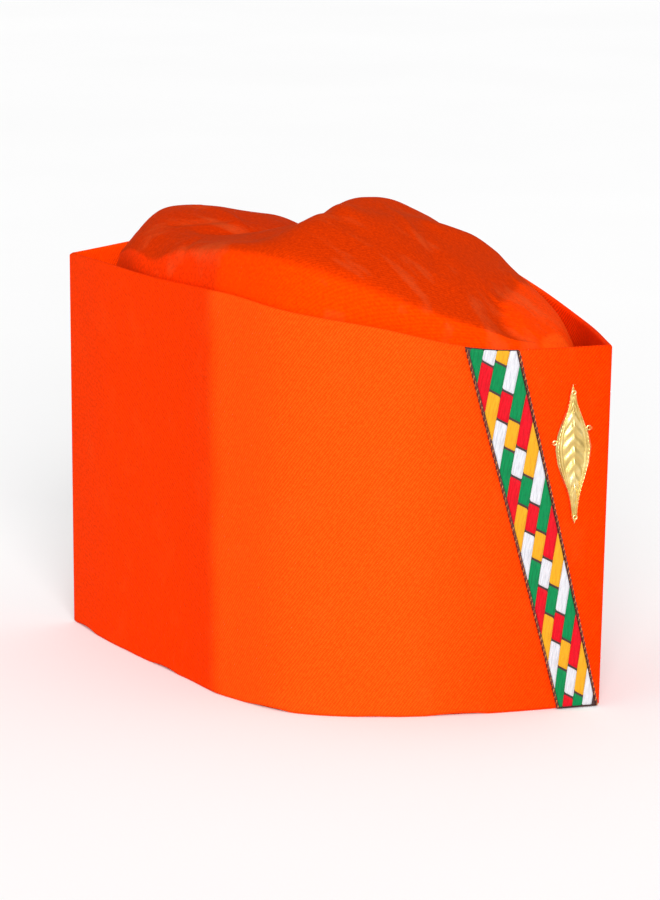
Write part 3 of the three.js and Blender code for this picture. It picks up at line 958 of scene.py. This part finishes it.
def make_ribbon():
    """The ground cloth of the ribbon, a thin closed strip under the checks."""
    down = np.linspace(0, 1, RIBBON_ROWS)[:, None]
    across = np.linspace(0.01, 0.99, RIBBON_COLUMNS)
    front = on_braid(across, down, BRAID_GROUND)
    back = on_braid(across, down, BRAID_BASE)[:, ::-1]
    loop, faces = capped(np.concatenate([front, back], 1))
    wide = np.concatenate([across, across[::-1]]) * BRAID_TOP_WIDTH / MM
    uvs = np.stack(np.broadcast_arrays(wide[None], down * CUFF_HEIGHT / MM), -1)
    return mesh_object("braid_ground", loop, faces, uvs)


def check_patch(corner, start_row, end_row):
    """Points and uvs of a padded satin check, cut off at the ribbon's edges and ends, or None
    where nothing is left. The rows count long sides of a check down from the corner."""
    lane = np.linspace(0.005, 0.995, CHECK_LANES)
    edge_u = corner[0] + lane * CHECK_TOP[0]
    edge_v = corner[1] + lane * CHECK_TOP[1]
    low = np.maximum(start_row, (edge_u - (1 - CORD_EDGE)) / -CHECK_SIDE[0])
    low = np.maximum(low, -edge_v / CHECK_SIDE[1])
    high = np.minimum(end_row, (edge_u - CORD_EDGE) / -CHECK_SIDE[0])
    high = np.minimum(high, (0.997 - edge_v) / CHECK_SIDE[1])
    high = np.maximum(high, low)
    if (high - low).max() < 0.05:
        return None
    share = np.linspace(0, 1, CHECK_ROWS)[:, None]
    row = low + (high - low) * share
    u = edge_u + row * CHECK_SIDE[0]
    v = edge_v + row * CHECK_SIDE[1]
    side_fall = 1 - 0.75 * np.abs(2 * lane - 1) ** 7
    end_away = np.minimum(share, 1 - share) * (high - low)
    end_fall = 1 - np.clip(1 - end_away / 0.12, 0, 1) ** 2
    puff = (CHECK_PUFF + CHECK_SINK) * side_fall * end_fall - CHECK_SINK
    points = on_braid(u, v, BRAID_GROUND + puff)
    uvs = np.stack(np.broadcast_arrays(lane * CHECK_WIDTH, row * CHECK_LENGTH), -1)
    return points, uvs


def make_checks():
    """One piece for each colour of satin."""
    patches = {name: [] for name in SATIN_COLOURS}
    for column in range(CHECK_COLUMNS + 1):
        corner = CHECK_START + np.array([0, column * CHECK_STEP])
        colours = CHECK_COLOURS[column % len(CHECK_COLOURS)]
        for colour, (start_row, end_row) in zip(colours, CHECK_ROW_ENDS):
            patch = check_patch(corner, start_row + CHECK_GAP, end_row - CHECK_GAP)
            if patch is not None:
                patches[colour].append(patch)
    made = {}
    for name, found in patches.items():
        parts = [(points, grid_faces(points)) for points, _ in found]
        made[name] = join_parts("checks_" + name, parts, [uvs for _, uvs in found])
    return made


def join_parts(name, parts, uvs=None):
    """One object from parts that are each a grid of points and a list of faces."""
    vertices, faces, count = [], [], 0
    for points, part_faces in parts:
        vertices.append(points.reshape(-1, 3))
        faces += [tuple(k + count for k in face) for face in part_faces]
        count += len(vertices[-1])
    return mesh_object(name, np.concatenate(vertices), faces, uvs)


# A direction that no tube runs along
TUBE_GUIDE = np.array([0.31, 0.17, 0.93])


def tube(line, radius, sides=8):
    """Points and faces of a closed tube along a line of points."""
    tangent = np.gradient(line, axis=0)
    tangent /= np.linalg.norm(tangent, axis=1)[:, None]
    guide = np.cross(tangent, TUBE_GUIDE)
    guide /= np.linalg.norm(guide, axis=1)[:, None]
    other = np.cross(tangent, guide)
    turn = np.linspace(0, TURN, sides, endpoint=False)[:, None]
    hoop = np.cos(turn) * guide[:, None] + np.sin(turn) * other[:, None]
    return capped(line[:, None] + radius * hoop)


CORD_STRAND = 0.33 * MM
TINSEL_STRAND = 0.2 * MM
CORD_SPREAD = 0.24 * MM
CORD_LIFT = 0.1 * MM
CORD_TURNS = 61
CORD_STEPS = 900
CORD_PLACES = [0.022, 0.978]


def make_cord_strand(name, phase, radius):
    """One of the two threads that are twisted round each other along both edges of the ribbon."""
    parts = []
    down = np.linspace(0.002, 0.998, CORD_STEPS)
    for across in CORD_PLACES:
        angle = TURN * CORD_TURNS * down + phase
        shift = CORD_SPREAD * np.cos(angle) / BRAID_TOP_WIDTH
        lift = BRAID_GROUND + CORD_LIFT + CORD_SPREAD * np.sin(angle)
        parts.append(tube(on_braid(across + shift, down, lift), radius))
    return join_parts(name, parts)


# Brooch: places down from its tip, as shares of its length, and how far its outline is out
# from the middle, as a share of half its width. Eyelets: which side they are on, and how far down
BROOCH_OUTLINE = [
    (0, 0), (0.06, 0.16), (0.13, 0.23), (0.2, 0.41), (0.28, 0.66), (0.36, 0.88), (0.46, 1),
    (0.57, 0.89), (0.67, 0.65), (0.76, 0.4), (0.84, 0.25), (0.91, 0.18), (0.97, 0.16), (1, 0),
]
BROOCH_BACK = 0.05 * MM
BROOCH_THICKNESS = 0.8 * MM
BROOCH_RELIEF = 1.15 * MM
BROOCH_ROWS, BROOCH_LANES = 260, 73
EYELETS = [(0.0, 0.055), (-1.0, 0.41), (1.0, 0.32), (0.0, 0.955)]
EYELET_RADIUS = 0.68 * MM
EYELET_WIRE = 0.36 * MM
RING_STEPS, WIRE_SIDES = 28, 12
LEAF_VEINS = 11
RIM_BEADS = 34
THREAD_RADIUS = 0.12 * MM
THREAD_LANE = 0.25 * MM
THREAD_SLANT = 0.1 * MM


def brooch_half(down):
    """Half width of the brooch, smooth between the rows of its outline."""
    table = np.array(BROOCH_OUTLINE)
    fine = np.linspace(0, 1, 400)
    half = np.interp(fine, table[:, 0], table[:, 1])
    kernel = np.hanning(17)
    padded = np.pad(half, 8, mode="edge")
    half = np.convolve(padded, kernel / kernel.sum(), "valid")
    return np.interp(down, fine, half * np.sqrt(np.clip(np.sin(fine * math.pi) * 9, 0, 1)))


def ridge(reach, middle, width):
    return np.exp(-(((reach - middle) / width) ** 2))


def stamped_relief(out, down):
    """Height of the stamping, from 0 to about 1: beaded double rim, veined leaf and midrib."""
    reach = np.abs(out)
    rim = ridge(reach, 0.88, 0.07) + 0.55 * ridge(reach, 0.7, 0.04)
    beads = 0.12 * np.sin(TURN * down * RIM_BEADS) * ridge(reach, 0.88, 0.06)
    leaf = np.clip(1 - (reach / 0.62) ** 2.4, 0, 1) * np.clip(np.sin(math.pi * down) * 2.2, 0, 1)
    wave = down * LEAF_VEINS - reach * 1.5
    veins = 0.2 * np.sin(TURN * wave) * np.clip(leaf * 2, 0, 1)
    curl = 0.16 * np.sin(TURN * (down * 4 + out * 1.1)) * leaf
    midrib = 0.34 * ridge(reach, 0, 0.09) * np.clip(leaf * 3, 0, 1)
    return 0.72 * rim + beads + 0.5 * leaf + veins + curl + midrib


def brooch_frame():
    """Where the brooch sits: its centre and its across, up and outward directions."""
    x = np.interp(BROOCH_SETBACK, SETBACKS, SETBACK_PLACES)
    share = BROOCH_CENTRE_HEIGHT / cuff_top(NEAR, x)
    places = [(0, 0), (1, 0), (-1, 0), (0, 1), (0, -1)]
    step = 2 * MM
    centre, ahead, behind, above, below = (
        on_near_wall(
            np.array([BROOCH_SETBACK - forward * step]),
            np.array([share * (1 + upward * step / BROOCH_CENTRE_HEIGHT)]),
            CLEARANCE,
        )[0]
        for forward, upward in places
    )
    across = ahead - behind
    across /= np.linalg.norm(across)
    outward = np.cross(across, above - below)
    outward /= np.linalg.norm(outward)
    up = np.cross(outward, across)
    turned_across = across * math.cos(BROOCH_TILT) + up * math.sin(BROOCH_TILT)
    turned_up = up * math.cos(BROOCH_TILT) - across * math.sin(BROOCH_TILT)
    return centre, turned_across, turned_up, outward


def on_brooch(side, height, out):
    """Points to the side of the brooch's centre, above it and out from the cloth."""
    centre, across, up, outward = brooch_frame()
    side, height, out = np.broadcast_arrays(side, height, out)
    return centre + side[..., None] * across + height[..., None] * up + out[..., None] * outward


def ring(side, height, out, radius, wire):
    """A small round ring that lies flat on the cloth."""
    turn = np.linspace(0, TURN, RING_STEPS, endpoint=False)[:, None]
    round_wire = np.linspace(0, TURN, WIRE_SIDES, endpoint=False)
    reach = radius + wire * np.cos(round_wire)
    points = on_brooch(
        side + reach * np.cos(turn), height + reach * np.sin(turn), out + wire * np.sin(round_wire))
    return points, grid_faces(points, True, True)


def eyelet_place(out, down):
    """How far an eyelet's middle is to the side of the brooch's middle, and how far above it."""
    side = out * (brooch_half(down) * BROOCH_WIDTH / 2 + EYELET_RADIUS * 0.9)
    return side, (0.5 - down) * BROOCH_LENGTH


def make_brooch():
    """The stamping, a closed plate with relief on its face, and the rings of its eyelets."""
    down = (1 - np.cos(np.linspace(0, math.pi, BROOCH_ROWS))) / 2
    across = np.sin(np.linspace(-0.5, 0.5, BROOCH_LANES) * math.pi)
    half = np.maximum(brooch_half(down), 0.02) * BROOCH_WIDTH / 2
    side = half[:, None] * across
    height = (0.5 - down[:, None]) * BROOCH_LENGTH
    relief = stamped_relief(across, down[:, None]) * np.clip(half[:, None] / (2.2 * MM), 0.35, 1)
    edge = np.sqrt(np.clip(1 - np.abs(across) ** 8, 0, 1))
    front = BROOCH_THICKNESS * (0.55 + 0.45 * edge) + BROOCH_RELIEF * 0.72 * relief * edge
    face = on_brooch(side, height, front)
    back = on_brooch(side, height, BROOCH_BACK)[:, ::-1]
    parts = [capped(np.concatenate([face, back], 1))]
    for out, drop in EYELETS:
        rise = BROOCH_THICKNESS + (0.55 * BROOCH_RELIEF if out == 0 else -0.3 * MM)
        parts.append(ring(*eyelet_place(out, drop), rise, EYELET_RADIUS, EYELET_WIRE))
    return join_parts("brooch_stamping", parts)


def make_brooch_threads():
    """Orange thread that holds the brooch: three turns from each eyelet over its ring."""
    parts = []
    turn = np.linspace(0, math.pi, 15)
    for out, drop in EYELETS:
        place, height = eyelet_place(out, drop)
        way = out if out else 1
        reach = place + way * EYELET_RADIUS * (0.9 - 0.9 * np.cos(turn))
        rise = 0.2 * MM + (BROOCH_THICKNESS + 0.5 * MM) * np.sin(turn)
        for lane in (-THREAD_LANE, 0.0, THREAD_LANE):
            line = on_brooch(reach, height + lane + THREAD_SLANT * np.cos(turn), rise)
            parts.append(tube(line, THREAD_RADIUS, 6))
    return join_parts("brooch_threads", parts)


make_camera()
make_floor()
make_studio()

# Cuff colours that are painted shade and light: redder where the wall turns from the light, paler
# where it faces it
REAR_SHADED_ORANGE = (0.99, 0.042, 0.0)
MIDDLE_LIT_ORANGE = (0.99, 0.08, 0.004)
FRONT_SHADED_ORANGE = (0.99, 0.056, 0.002)
# Painted shadow: deeper red on the far wall's inner face by the front tip, where the pocket lies in
# shade
POCKET_SHADOW_RED = (1.0, 0.034, 0.0)
# Painted shade: the crown's top is darker because it faces up, away from the low light
CROWN_TOP_SHADED_ORANGE = (0.62, 0.034, 0.0)
# Painted highlight along the crown's fold at the very front
FOLD_HIGHLIGHT_ORANGE = (1.0, 0.085, 0.004)
# Painted shade and light on the cuff, from the rear tip along the near wall to the front tip, and
# back: shaded red at the rear, lit in the middle, shaded towards the front
CUFF_PAINTED_SHADING = [
    (0, REAR_SHADED_ORANGE), (119, REAR_SHADED_ORANGE), (130, MIDDLE_LIT_ORANGE), (205, MIDDLE_LIT_ORANGE),
    (240, FRONT_SHADED_ORANGE), (282, POCKET_SHADOW_RED), (335, POCKET_SHADOW_RED), (370, MIDDLE_LIT_ORANGE),
    (480, MIDDLE_LIT_ORANGE), (560, REAR_SHADED_ORANGE),
]
# Painted shade over the crown's top, from rear to front
CROWN_PAINTED_SHADING = [(-30, (0.62, 0.03, 0.0)), (10, CROWN_TOP_SHADED_ORANGE), (80, (0.63, 0.034, 0.0))]
CROWN_LIGHT_PANELS = [
    # Painted light: the near side band and the ends are lighter as faces turned to the light, with
    # painted shade, redder, towards the rear
    ("lit_side_and_ends", [(0.16, (0.96, 0.038, 0.0)), (0.26, (0.96, 0.052, 0.0))]),
    ("fold_highlight", [(0.0, FOLD_HIGHLIGHT_ORANGE), (1.0, FOLD_HIGHLIGHT_ORANGE)]),
]
BAND_SHADES = [(0, (0.86, 0.05, 0.002)), (300, (0.88, 0.055, 0.003))]
cuff_twill = twill_look("cuff_twill", CUFF_PAINTED_SHADING, (0.9, 0.09, 0.01), 0.1, 1.0)
# The crown's pale streaks are partly wear and partly painted sheen
crown_twill = twill_look(
    "crown_twill", CROWN_PAINTED_SHADING, (0.55, 0.1, 0.025), 0.3, 0.35, CROWN_LIGHT_PANELS)
band_twill = twill_look("band_twill", BAND_SHADES, (0.7, 0.06, 0.01), 0.2, 1.0)
ground = thread_look("braid_ground", (0.035, 0.006, 0.004), (0.015, 0.003, 0.002))
maroon = thread_look("cord_maroon", (0.13, 0.008, 0.005), (0.04, 0.004, 0.003))
tinsel = thread_look("cord_tinsel", (0.5, 0.2, 0.05), (0.16, 0.02, 0.008))
sewing = thread_look("orange_thread", (0.9, 0.2, 0.02), (0.6, 0.08, 0.01))


def dress(piece, look, node_name):
    """Gives a piece its look and its place in the part, and returns it."""
    piece.data.materials.append(look)
    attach(piece, "root")
    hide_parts(node_name)
    return piece


cuff = dress(make_cuff(), cuff_twill, "cuff")
crown = dress(make_crown(), crown_twill, "crown")
band = dress(make_band(), band_twill, "inner_band")

ribbon = dress(make_ribbon(), ground, "braid")
for colour, check in make_checks().items():
    dress(check, satin_look("satin_" + colour, *SATIN_COLOURS[colour]), "braid")
maroon_cord = make_cord_strand("cord_maroon", 0.0, CORD_STRAND)
tinsel_cord = make_cord_strand("cord_tinsel", math.pi, TINSEL_STRAND)
dress(maroon_cord, maroon, "braid")
dress(tinsel_cord, tinsel, "braid")

dress(make_brooch(), gold_look("brooch_gold"), "brooch")
dress(make_brooch_threads(), sewing, "brooch")
